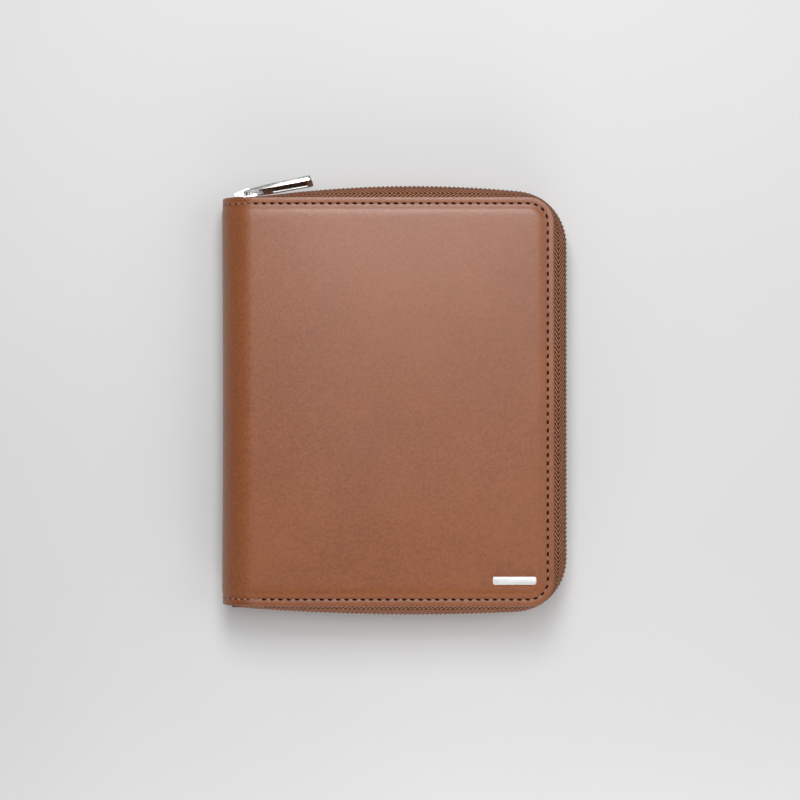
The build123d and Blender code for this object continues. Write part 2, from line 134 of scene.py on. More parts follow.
stitch_pitch = 3.175 * MM
stitch_inset = 2.7 * MM
tooth_pitch = 1.74 * MM

# height of the cover's leather below its highest face, by distance from the edge
leather_profile = [
    (0.0, -1.25), (0.12, -0.98), (0.4, -0.84), (0.9, -0.8), (2.0, -0.8), (2.35, -0.86), (2.7, -1.0),
    (3.05, -0.88), (3.4, -0.8), (3.9, -0.66), (4.5, -0.42), (5.1, -0.22), (5.9, -0.09), (7.0, -0.02),
    (8.5, 0.0),
]
leather_underside = -1.95 * MM
stitch_depth = dict(leather_profile)[2.7] * MM
spine_waist = 0.4 * MM       # how far the spine draws in at mid-height


def smooth(value):
    """0 below 0, 1 above 1, and an even S between."""
    value = min(max(value, 0.0), 1.0)
    return value * value * (3 - 2 * value)


# ---- paths round the covers
def straight(start, end):
    """A straight stretch of a path, as (length, place and outward normal at a share of it)."""
    start, end = Vector(start), Vector(end)
    along = (end - start).normalized()
    outward = Vector((-along.y, along.x))
    return (end - start).length, lambda share: (start.lerp(end, share), outward)


def bend(centre, radius, start, end):
    """A clockwise arc about centre, from one bearing to another in radians."""

    def place(share):
        bearing = start + (end - start) * share
        outward = Vector((cos(bearing), sin(bearing)))
        return Vector(centre) + outward * radius, outward

    return abs(end - start) * radius, place


def cover_path(inset, from_x):
    """Clockwise round a cover's edge, from the spine's head to its foot."""
    radius = cover_corner - inset
    corner_x, corner_y = free_x - cover_corner, head_y - cover_corner
    return [
        straight((from_x, head_y - inset), (corner_x, head_y - inset)),
        bend((corner_x, corner_y), radius, pi / 2, 0),
        straight((free_x - inset, corner_y), (free_x - inset, -corner_y)),
        bend((corner_x, -corner_y), radius, 0, -pi / 2),
        straight((corner_x, inset - head_y), (from_x, inset - head_y)),
    ]


def zip_path(inset, from_x):
    """Clockwise along the zip's outer face, from the spine's head to its foot."""
    head_centre, foot_centre = bow_centre, Vector((bow_centre.x, tape_low.y + foot_bow))
    corner_x = side_zip_x - zip_corner
    across, start_across = corner_x - bow_centre.x, from_x - bow_centre.x
    head_reach, foot_reach = head_bow - zip_corner, foot_bow - zip_corner
    head_corner = Vector((corner_x, head_centre.y + sqrt(head_reach**2 - across**2)))
    foot_corner = Vector((corner_x, foot_centre.y - sqrt(foot_reach**2 - across**2)))
    head_turn, foot_turn = acos(across / head_reach), -acos(across / foot_reach)
    head_start, foot_end = acos(start_across / (head_bow - inset)), -acos(start_across / (foot_bow - inset))
    return [
        bend(head_centre, head_bow - inset, head_start, head_turn),
        bend(head_corner, zip_corner - inset, head_turn, 0),
        straight((side_zip_x - inset, head_corner.y), (side_zip_x - inset, foot_corner.y)),
        bend(foot_corner, zip_corner - inset, 0, foot_turn),
        bend(foot_centre, foot_bow - inset, foot_turn, foot_end),
    ]


def path_length(path):
    return sum(length for length, _ in path)


def on_path(path, distance):
    """The place and outward normal at a distance along a path."""
    for length, place in path[:-1]:
        if distance <= length:
            return place(distance / length)
        distance -= length
    length, place = path[-1]
    return place(min(distance / length, 1.0))


# ---- modelling helpers
def object_mode():
    bpy.ops.object.mode_set(mode="OBJECT")


def edit_mode():
    bpy.ops.object.mode_set(mode="EDIT")


def select_all():
    bpy.ops.mesh.select_all(action="SELECT")


def deselect():
    if bpy.context.object and bpy.context.object.mode != "OBJECT":
        object_mode()
    bpy.ops.object.select_all(action="DESELECT")


def activate(piece):
    deselect()
    piece.select_set(True)
    bpy.context.view_layer.objects.active = piece


def finished(name):
    """Names the active object and applies its place, so that it sits at the origin."""
    piece = bpy.context.object
    bpy.ops.object.transform_apply(location=True, rotation=True, scale=True)
    piece.name = name
    piece.data.name = name
    return piece


def pick(piece, kind, wanted):
    """Goes into edit mode with only the wanted points, edges or faces selected."""
    activate(piece)
    edit_mode()
    bpy.ops.mesh.select_mode(type=kind)
    bpy.ops.mesh.select_all(action="DESELECT")
    object_mode()
    parts = {"VERT": piece.data.vertices, "EDGE": piece.data.edges, "FACE": piece.data.polygons}[kind]
    for part in parts:
        part.select = wanted(part)
    edit_mode()


def laid(name, across, along, surface, flat_size=None):
    """A grid on surface(share across, share along), whose UVs become flat_size in metres."""
    deselect()
    bpy.ops.mesh.primitive_grid_add(x_subdivisions=across, y_subdivisions=along, size=1, calc_uvs=True)
    piece = finished(name)
    for vertex in piece.data.vertices:
        vertex.co = surface(vertex.co.x + 0.5, vertex.co.y + 0.5)
    if flat_size:
        for corner in piece.data.uv_layers[0].data:
            corner.uv = (corner.uv[0] * flat_size[0], corner.uv[1] * flat_size[1])
    piece.data.update()
    return piece


def apply_modifier(piece, kind, **settings):
    """Adds a modifier, sets it and applies it."""
    activate(piece)
    modifier = piece.modifiers.new(kind.lower(), kind)
    for setting, value in settings.items():
        setattr(modifier, setting, value)
    bpy.ops.object.modifier_apply(modifier=modifier.name)


def dress(piece, made, angle):
    """A material, and smooth shading over edges flatter than angle."""
    piece.data.materials.append(made)
    activate(piece)
    bpy.ops.object.shade_smooth_by_angle(angle=radians(angle))


def soften(piece, width, segments, angle):
    """Rounds the edges that are sharper than angle."""
    limit = {"limit_method": "ANGLE", "angle_limit": radians(angle)}
    apply_modifier(piece, "BEVEL", width=width, segments=segments, **limit)


def round_corners(radius, segments):
    bpy.ops.mesh.bevel(offset_type="ABSOLUTE", offset=radius, segments=segments, affect="VERTICES")


def hand(piece, body, slot, replaced=None):
    """Puts a piece on the body it rides on, and hides the node that it replaces. Its slot is not used."""
    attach(piece, body)
    if replaced:
        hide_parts(replaced)


def outward_normals(piece):
    """Merges doubled points and turns every face outwards."""
    activate(piece)
    edit_mode()
    select_all()
    bpy.ops.mesh.remove_doubles(threshold=0.002 * MM)
    bpy.ops.mesh.normals_make_consistent(inside=False)
    object_mode()


def twin(piece, name):
    """The same piece on the other half, mirrored in the middle plane."""
    other = piece.copy()
    other.data = piece.data.copy()
    other.name = name
    other.data.name = name
    in_scene.link(other)
    other.data.transform(Matrix.Translation((0, 0, thickness)) @ Matrix.Scale(-1, 4, (0, 0, 1)))
    other.data.flip_normals()
    return other


def moved_over(piece, name):
    """A piece taken from one half to the other."""
    other = twin(piece, name)
    bpy.data.objects.remove(piece)
    return other


def copies(pattern, places, name):
    """One mesh with a copy of pattern at each matrix in places. The pattern is used up."""
    source = pattern.data
    points, faces = [], []
    local = [vertex.co.copy() for vertex in source.vertices]
    local_faces = [tuple(face.vertices) for face in source.polygons]
    for place in places:
        first = len(points)
        points.extend(place @ point for point in local)
        faces.extend(tuple(first + index for index in face) for face in local_faces)
    mesh = bpy.data.meshes.new(name)
    mesh.from_pydata(points, [], faces)
    mesh.shade_smooth()
    bpy.data.objects.remove(pattern)
    piece = bpy.data.objects.new(name, mesh)
    in_scene.link(piece)
    return piece


def facing(place, along, up):
    """A matrix at place whose X runs along and whose Z points as near up as it can."""
    along = along.normalized()
    across = up.cross(along).normalized()
    up = along.cross(across)
    turn = Matrix((along, across, up)).transposed().to_4x4()
    return Matrix.Translation(place) @ turn


# ---- effects shared by the materials
def add(tree, kind, inputs=None, **settings):
    """Adds a node, sets it up, and feeds each input with a socket or a value."""
    node = tree.nodes.new("ShaderNode" + kind)
    for setting, value in settings.items():
        setattr(node, setting, value)
    for key, value in (inputs or {}).items():
        if isinstance(value, bpy.types.NodeSocket):
            tree.links.new(value, node.inputs[key])
        else:
            node.inputs[key].default_value = value
    return node


def maths(operation, *values):
    """The result of a Math node, at least one of whose values is a socket."""
    tree = next(value.id_data for value in values if isinstance(value, bpy.types.NodeSocket))
    return add(tree, "Math", dict(enumerate(values)), operation=operation).outputs[0]


def times(first, second):
    return maths("MULTIPLY", first, second)


def scaled(value, rate, start):
    """value times rate, plus start."""
    return maths("MULTIPLY_ADD", value, rate, start)


def but(value):
    """What is left of 1."""
    return maths("SUBTRACT", 1.0, value)


def noise(where, scale, detail):
    return add(where.id_data, "TexNoise", {"Vector": where, "Scale": scale, "Detail": detail}).outputs["Fac"]


def blended(factor, *colours):
    """A colour between two others, each a socket or three shares of light."""
    first, second = (value + (1.0,) if isinstance(value, tuple) else value for value in colours)
    return add(factor.id_data, "Mix", {0: factor, 6: first, 7: second}, data_type="RGBA").outputs[2]


def ranged(value, low, high, new_low=0.0, new_high=1.0):
    """value's stretch from low to high, eased onto another range."""
    inputs = {"Value": value, "From Min": low, "From Max": high, "To Min": new_low, "To Max": new_high}
    return add(value.id_data, "MapRange", inputs, interpolation_type="SMOOTHSTEP").outputs[0]


def effect(name, inputs, outputs):
    """An empty shader node group, with its named inputs (and defaults) and outputs."""
    tree = bpy.data.node_groups.new(name, "ShaderNodeTree")
    for label, value in inputs.items():
        kind = "NodeSocketVector" if value is None else "NodeSocketFloat"
        socket = tree.interface.new_socket(label, in_out="INPUT", socket_type=kind)
        if value is not None:
            socket.default_value = value
    for label in outputs:
        tree.interface.new_socket(label, in_out="OUTPUT", socket_type="NodeSocketFloat")
    given, results = tree.nodes.new("NodeGroupInput").outputs, tree.nodes.new("NodeGroupOutput").inputs
    return tree, given, lambda label, value: tree.links.new(value, results[label])


def make_leather_grain():
    """Fine pebbles with creases between them, pores, and slow changes of tone."""
    inputs = {"Vector": None, "Pebble Size": 0.0006, "Pebble Share": 0.6}
    tree, given, result = effect("leather_grain", inputs, ["Height", "Tone", "Crease"])
    where = given["Vector"]
    density = maths("DIVIDE", 1.0, given["Pebble Size"])
    warp = add(tree, "TexNoise", {"Vector": where, "Scale": 700.0, "Detail": 2.0})
    push = add(tree, "VectorMath", {0: warp.outputs["Color"], "Scale": 0.00045}, operation="SCALE").outputs[0]
    moved = add(tree, "VectorMath", {0: where, 1: push}, operation="ADD").outputs[0]
    cells = add(tree, "TexVoronoi", {"Vector": moved, "Scale": density}, feature="DISTANCE_TO_EDGE")
    pebbles = cells.outputs["Distance"]
    dome = times(ranged(pebbles, 0.0, 0.28), given["Pebble Share"])
    pores = times(noise(where, 3200.0, 3.0), but(given["Pebble Share"]))
    result("Height", maths("ADD", dome, pores))
    slow = noise(where, 28.0, 4.0)
    fine = noise(where, 900.0, 2.0)
    tone = scaled(slow, 0.35, times(fine, 0.65))
    result("Tone", tone)
    result("Crease", but(ranged(pebbles, 0.0, 0.12)))
    return tree


def make_herringbone():
    """Thick twisted ribs that lean one way and then the other across a tape."""
    inputs = {"UV": None, "Rib Pitch": 0.00174, "Column": 0.0042, "Column Start": 0.0}
    inputs |= {"Lean": 1.25, "Strand": 0.0011}
    tree, given, result = effect("herringbone", inputs, ["Height", "Gap", "Selvage"])
    parts = add(tree, "SeparateXYZ", {0: given["UV"]}).outputs
    across = maths("SUBTRACT", parts[0], given["Column Start"])
    zigzag = maths("PINGPONG", across, given["Column"])
    leaning = scaled(zigzag, given["Lean"], parts[1])
    turn = maths("DIVIDE", leaning, given["Rib Pitch"])
    wave = maths("SINE", times(turn, 2 * pi))
    rib = maths("POWER", scaled(wave, 0.5, 0.5), 0.9)
    half_turn = times(maths("FLOOR", turn), 0.5)
    dash_turn = maths("ADD", maths("DIVIDE", zigzag, given["Strand"]), half_turn)
    dash = maths("SINE", times(dash_turn, 2 * pi))
    twist = scaled(dash, 0.2, 0.8)
    share = maths("DIVIDE", zigzag, given["Column"])
    fold = maths("ABSOLUTE", maths("SUBTRACT", share, 0.5))
    seam = ranged(fold, 0.44, 0.5, 1.0, 0.45)
    height = times(times(rib, twist), seam)
    fibre = noise(given["UV"], 6000.0, 2.0)
    result("Height", scaled(fibre, 0.18, height))
    result("Gap", but(ranged(height, 0.15, 0.8)))
    result("Selvage", seam)
    return tree


def make_plain_weave():
    """Warp and weft crossing over and under."""
    tree, given, result = effect("plain_weave", {"Vector": None, "Thread Pitch": 0.0005}, ["Height", "Gap"])
    parts = add(tree, "SeparateXYZ", {0: given["Vector"]}).outputs
    rate = maths("DIVIDE", pi, given["Thread Pitch"])
    warp = maths("SINE", times(parts[0], rate))
    weft = maths("SINE", times(parts[1], rate))
    over = maths("ABSOLUTE", times(warp, weft))
    fuzz = noise(given["Vector"], 2600.0, 3.0)
    result("Height", scaled(fuzz, 0.3, over))
    result("Gap", but(ranged(over, 0.0, 0.5)))
    return tree


leather_grain = make_leather_grain()
herringbone = make_herringbone()
plain_weave = make_plain_weave()


# ---- materials
def material(name):
    """A new material, with its tree, its Principled BSDF and its object coordinates."""
    made = bpy.data.materials.new(name)
    made.use_nodes = True
    tree = made.node_tree
    return made, tree, tree.nodes["Principled BSDF"], tree.nodes.new("ShaderNodeTexCoord").outputs["Object"]


def surfaced(tree, shader, colour, rough, height, depth):
    """Feeds the shader's colour, roughness and, from a bump of a depth in metres, its normal."""
    bump = add(tree, "Bump", {"Height": height, "Distance": depth, "Strength": 1.0}).outputs[0]
    for name, value in (("Base Color", colour), ("Roughness", rough), ("Normal", bump)):
        tree.links.new(value, shader.inputs[name])


def make_leather(name, deep, light, pebble, depth, rough, sheen=0.0):
    """Aniline-dyed leather: two tones, painted shade in the creases, a burnished edge, and a band of painted
    shade along the stitched groove, where inset says.

    Its pebbles and their depth are in millimetres."""
    made, tree, shader, where = material(name)
    grain = add(tree, "Group", {"Vector": where, "Pebble Size": pebble * MM}, node_tree=leather_grain).outputs
    tone = ranged(grain["Tone"], 0.34, 0.66)
    body = blended(tone, deep, light)
    # painted shade: the creases between the pebbles are darkened towards the deep colour
    crease_shaded = blended(times(grain["Crease"], 0.35), body, deep)
    inset = add(tree, "Attribute", attribute_name="inset").outputs["Fac"]
    dark = tuple(value * 0.45 for value in deep)
    # painted shade: a darker, more orange band from 2.4 to 5.6 mm in, along the groove at the stitching
    groove_shade_colour = (deep[0] * 1.05, deep[1] * 0.92, deep[2] * 0.62)
    groove_shade_start = ranged(inset, 2.4 * MM, 3.2 * MM)
    groove_shade_end = ranged(inset, 3.6 * MM, 5.6 * MM, 1.0, 0.0)
    groove_shaded = blended(times(times(groove_shade_start, groove_shade_end), 0.6), crease_shaded, groove_shade_colour)
    rim = ranged(inset, 0.1 * MM, 0.65 * MM, 0.8, 0.0)
    worn = scaled(grain["Tone"], 0.16, rough - 0.08)
    surfaced(tree, shader, blended(rim, groove_shaded, dark), worn, grain["Height"], depth * MM)
    shader.inputs["Specular IOR Level"].default_value = 0.68
    shader.inputs["Sheen Weight"].default_value = sheen
    shader.inputs["Sheen Roughness"].default_value = 0.6
    shader.inputs["Sheen Tint"].default_value = (1.0, 0.82, 0.72, 1.0)
    return made


def make_zip_tape():
    made, tree, shader, where = material("zip_tape_herringbone")
    sheet = add(tree, "UVMap", uv_map="UVMap").outputs["UV"]
    places = {"UV": sheet, "Column Start": tape_column_start, "Column": tape_column}
    weave = add(tree, "Group", places, node_tree=herringbone).outputs
    thread = blended(noise(where, 260.0, 3.0), (0.38, 0.145, 0.066), (0.56, 0.24, 0.125))
    # painted shade: the gaps between the ribs are painted near-black
    rib_gap_shaded = blended(weave["Gap"], thread, (0.03, 0.008, 0.004))
    surfaced(tree, shader, rib_gap_shaded, scaled(weave["Gap"], 0.25, 0.62), weave["Height"], 0.35 * MM)
    shader.inputs["Specular IOR Level"].default_value = 0.2
    return made


def make_woven(name, thread, gap_shade_colour, pitch, depth, rough):
    """A plain-woven fabric on object coordinates, with painted shade in the gaps between its threads; its
    thread pitch and depth are in millimetres.
    """
    made, tree, shader, where = material(name)
    weave = add(tree, "Group", {"Vector": where, "Thread Pitch": pitch * MM}, node_tree=plain_weave).outputs
    lighter = tuple(min(value * 1.35, 1.0) for value in thread)
    body = blended(noise(where, 60.0, 4.0), thread, lighter)
    worn = scaled(weave["Gap"], 0.1, rough)
    surfaced(tree, shader, blended(weave["Gap"], body, gap_shade_colour), worn, weave["Height"], depth * MM)
    shader.inputs["Sheen Weight"].default_value = 0.3
    return made


def make_mottled(name, first, second, scale, rough, depth, metallic=0.0):
    """Two tones in a noise, with a bump of the same noise, whose depth is in millimetres."""
    made, tree, shader, where = material(name)
    cloud = noise(where, scale, 4.0)
    share = ranged(cloud, 0.3, 0.7)
    worn = scaled(share, rough * 0.25, rough * 0.85)
    surfaced(tree, shader, blended(share, first, second), worn, cloud, depth * MM)
    shader.inputs["Metallic"].default_value = metallic
    return made


def make_thread(name, first, second):
    """Waxed thread, whose plies show as fine slanting ridges, with painted shade in the grooves between them.
    """
    made, tree, shader, where = material(name)
    bands = {"Vector": where, "Scale": 620.0, "Distortion": 1.5, "Detail": 1.0}
    plies = add(tree, "TexWave", bands, bands_direction="DIAGONAL").outputs["Fac"]
    worn = scaled(plies, -0.12, 0.5)
    # painted shade: the darker first colour falls in the grooves between the plies
    surfaced(tree, shader, blended(plies, first, second), worn, plies, 0.06 * MM)
    return made


tape_column = 4.2 * MM
tape_column_start = 3.7 * MM
outer_leather = make_leather(
    "saddle_leather", (0.213, 0.061, 0.0155), (0.281, 0.083, 0.0225), 0.42, 0.03, 0.34
)
inner_leather = make_leather(
    "pocket_leather", (0.20, 0.064, 0.028), (0.245, 0.082, 0.037), 0.55, 0.03, 0.52, 0.1
)
tape_cloth = make_zip_tape()
# the second colour of each weave is the painted shade in its gaps
lining_cloth = make_woven("lining_weave", (0.105, 0.055, 0.033), (0.03, 0.014, 0.008), 0.42, 0.06, 0.75)
elastic_cloth = make_woven("ribbed_elastic", (0.05, 0.028, 0.018), (0.012, 0.007, 0.005), 0.8, 0.12, 0.7)
saddle_thread = make_thread("waxed_thread", (0.20, 0.085, 0.05), (0.42, 0.235, 0.165))
coil_nylon = make_mottled("coil_nylon", (0.13, 0.05, 0.027), (0.20, 0.078, 0.042), 900, 0.38, 0.01)
# painted shade: near-black and barely reflecting, for the shade inside the awl holes
hole_shade = make_mottled("hole_shade", (0.012, 0.001, 0.001), (0.026, 0.004, 0.002), 2500, 0.9, 0.02)
hole_shade.node_tree.nodes["Principled BSDF"].inputs["Specular IOR Level"].default_value = 0.08
nickel = make_mottled("polished_nickel", (0.80, 0.80, 0.79), (0.88, 0.88, 0.87), 220, 0.2, 0.0004, 1.0)
satin_nickel = make_mottled("satin_nickel", (0.86, 0.86, 0.85), (0.92, 0.92, 0.91), 260, 0.48, 0.0006, 1.0)
# painted shade: a darker metal in the pull's recess, standing in for the shade and dark reflections there
recess_shade_nickel = make_mottled("recess_painted_shade", (0.16, 0.16, 0.165), (0.24, 0.24, 0.245), 900, 0.34, 0.002, 1.0)
foam = make_mottled("cell_foam", (0.70, 0.67, 0.60), (0.80, 0.78, 0.72), 2400, 0.9, 0.1)
grey_board = make_mottled("fibre_board", (0.36, 0.29, 0.20), (0.46, 0.38, 0.28), 1500, 0.85, 0.04)
table_top = make_mottled("pale_table", (0.645, 0.645, 0.645), (0.665, 0.665, 0.665), 6, 0.85, 0.02)


# ---- leather covers and spine
def edge_distance(x, y):
    """How far a point is inside the cover's edge."""
    over_x, over_y = x - (free_x - cover_corner), abs(y) - (head_y - cover_corner)
    if over_x > 0 and over_y > 0:
        return cover_corner - hypot(over_x, over_y)
    return min(free_x - x, head_y - abs(y))


def edge_direction(x, y):
    """The outward direction of the cover's nearest edge."""
    over_x, over_y = x - (free_x - cover_corner), abs(y) - (head_y - cover_corner)
    sign = 1 if y > 0 else -1
    if over_x > 0 and over_y > 0:
        return Vector((over_x, sign * over_y, 0)).normalized()
    if free_x - x < head_y - abs(y):
        return Vector((1, 0, 0))
    return Vector((0, sign, 0))


cut_width = 0.0001 * MM
row_spacing = head_y / 9.4


def ringed_plate(name, first_inset, profile, low_x, cuts):
    """A cover-shaped plate with a ring for each (inset, height) in profile, cut off square at low_x.

    It is made twice as wide, even about low_x, so that its rings run straight into the cut. It is divided
    at each distance from low_x in cuts, in millimetres, and across."""
    deselect()
    bpy.ops.mesh.primitive_plane_add(size=1, location=(low_x, 0, profile[0][1]))
    plate = bpy.context.object
    plate.scale = (2 * (free_x - first_inset - low_x), 2 * (head_y - first_inset), 1)
    finished(name)
    edit_mode()
    select_all()
    round_corners(cover_corner - first_inset, 12)
    select_all()
    for (inset, height), (next_inset, next_height) in zip(profile, profile[1:]):
        bpy.ops.mesh.inset(thickness=next_inset - inset, depth=next_height - height, use_even_offset=True)
    select_all()
    bpy.ops.mesh.bisect(plane_co=(low_x, 0, 0), plane_no=(1, 0, 0), clear_inner=True, threshold=cut_width)
    planes = [((low_x + place * MM, 0, 0), (1, 0, 0)) for place in cuts]
    planes += [((0, row_spacing * step, 0), (0, 1, 0)) for step in range(-8, 9)]
    for place, across in planes:
        select_all()
        bpy.ops.mesh.bisect(plane_co=place, plane_no=across, threshold=cut_width)
    object_mode()
    return plate


def fold_under(plate, low_x, depth):
    """Turns the plate's outer edge in underneath by depth."""
    base, near = min(vertex.co.z for vertex in plate.data.vertices), 0.01 * MM

    def free(edge):
        ends = [plate.data.vertices[index].co for index in edge.vertices]
        return max(end.z for end in ends) < base + near and max(end.x for end in ends) > low_x + near

    pick(plate, "EDGE", free)
    bpy.ops.mesh.extrude_edges_move()
    object_mode()
    for vertex in plate.data.vertices:
        if vertex.select:
            vertex.co -= edge_direction(vertex.co.x, vertex.co.y) * depth


def store_inset(piece, distance=edge_distance):
    """Keeps each point's distance from the leather's edge, for its edge colour and its painted groove shade.
    """
    values = piece.data.attributes.new("inset", "FLOAT", "POINT").data
    for vertex, value in zip(piece.data.vertices, values):
        value.value = max(distance(vertex.co.x, vertex.co.y), 0.0)


flat_strip = 3 * MM          # flat leather beside the spine that bends with it
hem_x = spine_x + flat_strip
turned_in = 4 * MM
field_crown = 0.28 * MM      # how far the padded field swells
spine_drop = 0.85 * MM       # how far the cover's face falls towards the spine
drop_reach = 28 * MM
field_cuts = [1.7, 3.6, 5.8, 8.4, 11.4, 14.8, 18.6, 22.8, 28, 35, 43, 51, 59, 67, 75, 83, 91, 99, 106]


def face_drop(x):
    """How far the cover's face has fallen at a place along X."""
    return spine_drop * max(1 - (x - spine_x) / drop_reach, 0.0) ** 2


def field_swell(x, y):
    """The padded field's crown, with the small unevenness of soft leather."""
    inward = smooth((edge_distance(x, y) - 6 * MM) / (34 * MM)) * smooth((x - hem_x) / (30 * MM))
    uneven = sin(x * 61 + 1.3 * sin(y * 47)) * sin(y * 53 + 0.8)
    return inward * (field_crown + 0.05 * MM * uneven) - face_drop(x)


def make_cover_leather():
    profile = [(0.0, thickness + leather_underside)]
    profile += [(inset * MM, thickness + height * MM) for inset, height in leather_profile]
    cover = ringed_plate("front_cover", 0.0, profile, hem_x, field_cuts)
    for vertex in cover.data.vertices:
        vertex.co.z += field_swell(vertex.co.x, vertex.co.y)
    fold_under(cover, hem_x, turned_in)
    store_inset(cover)
    dress(cover, outer_leather, 50)
    return cover


def lining_place(turn, y, height):
    """A point on the spine's round lining."""
    radius = spine_radius + height
    return Vector((spine_x - radius * sin(radians(turn)), y, middle_z - radius * cos(radians(turn))))


def spine_place(turn, y, height):
    """A point on the round spine: turn in degrees from the back cover, or millimetres of flat beyond it."""
    if turn < 0:
        return Vector((spine_x - turn * MM, y, face_drop(spine_x - turn * MM) - height))
    if turn > 180:
        x = spine_x + (turn - 180) * MM
        return Vector((x, y, thickness + height - face_drop(x)))
    waist = spine_waist * sin(radians(turn)) * (1 - (y / head_y) ** 2)
    height += 0.6 * sin(radians(turn)) ** 2 * min(-height, 0.8 * MM)
    beyond = radians(min(turn, 180 - turn))
    fall = spine_drop + 2 * spine_drop / drop_reach * spine_radius * beyond
    shoulder = fall * (1 - smooth(beyond / (pi / 2)))
    return lining_place(turn, y, height - waist - shoulder)


def spine_rows(rim):
    """(y, height) from foot to head: the rim's rows, plain rows between, and the rim again."""
    plain = [(head_y * step / 12, rim[-1][1]) for step in range(-10, 11)]
    foot = [(inset - head_y, height) for inset, height in rim]
    head = [(head_y - inset, height) for inset, height in reversed(rim)]
    return foot + plain + head


def spine_fold(name, first, last, rim, cloth, place):
    """A stretch of the spine from one turn to another, on the surface that place gives."""
    facing_in = place is lining_place
    rows = spine_rows(rim)
    turns = [first + (last - first) * step / fold_steps for step in range(fold_steps + 1)]
    if not facing_in:
        turns = ([-3, -1.5] if first == 0 else []) + turns + ([181.5, 183] if last == 180 else [])
    across, along = len(turns) - 1, len(rows) - 1

    def surface(share_across, share_along):
        y, height = rows[round(share_along * along)]
        return place(turns[round(share_across * across)], y, height)

    piece = laid(name, across, along, surface)
    if facing_in:
        piece.data.flip_normals()
    store_inset(piece)
    dress(piece, cloth, 50)
    return piece


leather_rim = [(turned_in, leather_underside), (0.0, leather_underside)]
leather_rim += [(inset * MM, height * MM) for inset, height in leather_profile]
fold_angle, fold_steps = 45, 20


def cover_spine(kind, rim, cloth, place, height):
    """Four stretches of the spine's leather or lining, one for each fold's span of turn, in place of the
    frame's spine strips.
    """
    for fold, strip in enumerate(("low", "mid", "high", None)):
        first, last = fold * fold_angle, (fold + 1) * fold_angle
        piece = spine_fold(f"spine_fold_{kind}_{fold + 1}", first, last, rim, cloth, place)
        start, end = spine_place(first, 0, height), spine_place(last, 0, height)
        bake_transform(piece)
        if strip:
            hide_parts(f"spine_{kind}_{strip}")


front_cover = make_cover_leather()
back_cover = twin(front_cover, "back_cover")
for vertex in back_cover.data.vertices:
    vertex.co.z = max(vertex.co.z, 0.0)     # it lies flat where it rests
for cover, half in ((front_cover, "front"), (back_cover, "back")):
    hand(cover, f"{half}_half", "leather", f"{half}_cover_leather")
cover_spine("leather", leather_rim, outer_leather, spine_place, 0.0)

# ---- linings
lining_inset = 1.35 * MM
lining_profile = [
    (1.35, 2.62), (1.36, 3.1), (1.6, 3.34), (2.0, 3.42), (3.2, 3.42), (3.5, 3.34), (3.8, 3.42),
    (4.9, 3.46), (5.4, 3.6), (6.1, 3.94), (6.9, 4.02),
]
spine_lining_height = -2.0 * MM
lining_cuts = [0.1, 0.3, 0.5, 0.7, 0.9, 1.1, 1.3, 8, 16, 25, 35, 45, 55, 65, 75, 85, 95, 105]


def make_lining():
    profile = [(inset * MM, height * MM) for inset, height in lining_profile]
    lining = ringed_plate("back_lining", lining_inset, profile, spine_x, lining_cuts)
    for vertex in lining.data.vertices:
        rise = smooth((vertex.co.x - spine_x - 0.1 * MM) / (1.1 * MM))
        vertex.co.z = -spine_lining_height + (vertex.co.z + spine_lining_height) * rise
    dress(lining, lining_cloth, 50)
    return lining


back_lining = make_lining()
front_lining = twin(back_lining, "front_lining")
for lining, half in ((back_lining, "back"), (front_lining, "front")):
    hand(lining, f"{half}_half", "lining", f"{half}_cover_lining")

# (inset, height above the lining of the spine), in millimetres
lining_rim = [(1.35, 0.6), (1.4, 0.1), (1.8, 0), (3.2, 0), (3.5, 0.08), (3.8, 0), (7, 0)]
lining_rim = [(inset * MM, spine_lining_height + height * MM) for inset, height in lining_rim]
cover_spine("lining", lining_rim, lining_cloth, lining_place, spine_lining_height)

# ---- stitching
def stitch_places(path, height, lean, first=0.5):
    """Matrices along a path, one a stitch, turned by lean about the upright."""
    total = path_length(path)
    count = int(total / stitch_pitch)
    spacing = total / count
    places = []
    for number in range(count):
        place, outward = on_path(path, (number + first) * spacing)
        along = Vector((outward.y, -outward.x, 0))
        turned = Matrix.Rotation(radians(lean), 3, "Z") @ along
        spot = Vector((place.x, place.y, height - (face_drop(place.x) if height > middle_z else 0.0)))
        places.append(facing(spot, turned, Vector((0, 0, 1))))
    return places


def new_thread(length, width):
    """One stitch: a plump capsule along X whose ends dip."""
    deselect()
    bpy.ops.mesh.primitive_uv_sphere_add(segments=8, ring_count=8, radius=0.5, rotation=(0, pi / 2, 0))
    thread = finished("thread")
    for vertex in thread.data.vertices:
        x, y, z = vertex.co
        full = (1 - (2 * abs(x)) ** 4) ** 0.25 if abs(x) < 0.5 else 0.0
        swell = 0.5 * full / sqrt(max(0.25 - x**2, 1e-9)) * width
        dip = -1.1 * width * (2 * abs(x)) ** 2.4
        vertex.co = Vector((x * length, y * swell, z * swell + dip))
    return thread


def new_hole_shade(length, width):
    """A dark slit of painted shade, where a thread goes down into its hole."""
    deselect()
    bpy.ops.mesh.primitive_uv_sphere_add(segments=10, ring_count=6, radius=0.5)
    hole = finished("hole")
    for vertex in hole.data.vertices:
        vertex.co = Vector((vertex.co.x * length, vertex.co.y * width, vertex.co.z * 0.16 * MM))
    return hole


def stitched(name, path, height, thread_size, hole_size, thread_lean, hole_lean):
    """A row of stitches: the threads, and dark slits of painted shade for the holes between them."""
    threads = copies(new_thread(*thread_size), stitch_places(path, height, thread_lean), name)
    between = stitch_places(path, height - hole_sink, hole_lean, 0.0)
    holes = copies(new_hole_shade(*hole_size), between, name + "_holes")
    threads.data.materials.append(saddle_thread)
    holes.data.materials.append(hole_shade)
    return threads, holes


cover_stitch_z = thickness + stitch_depth
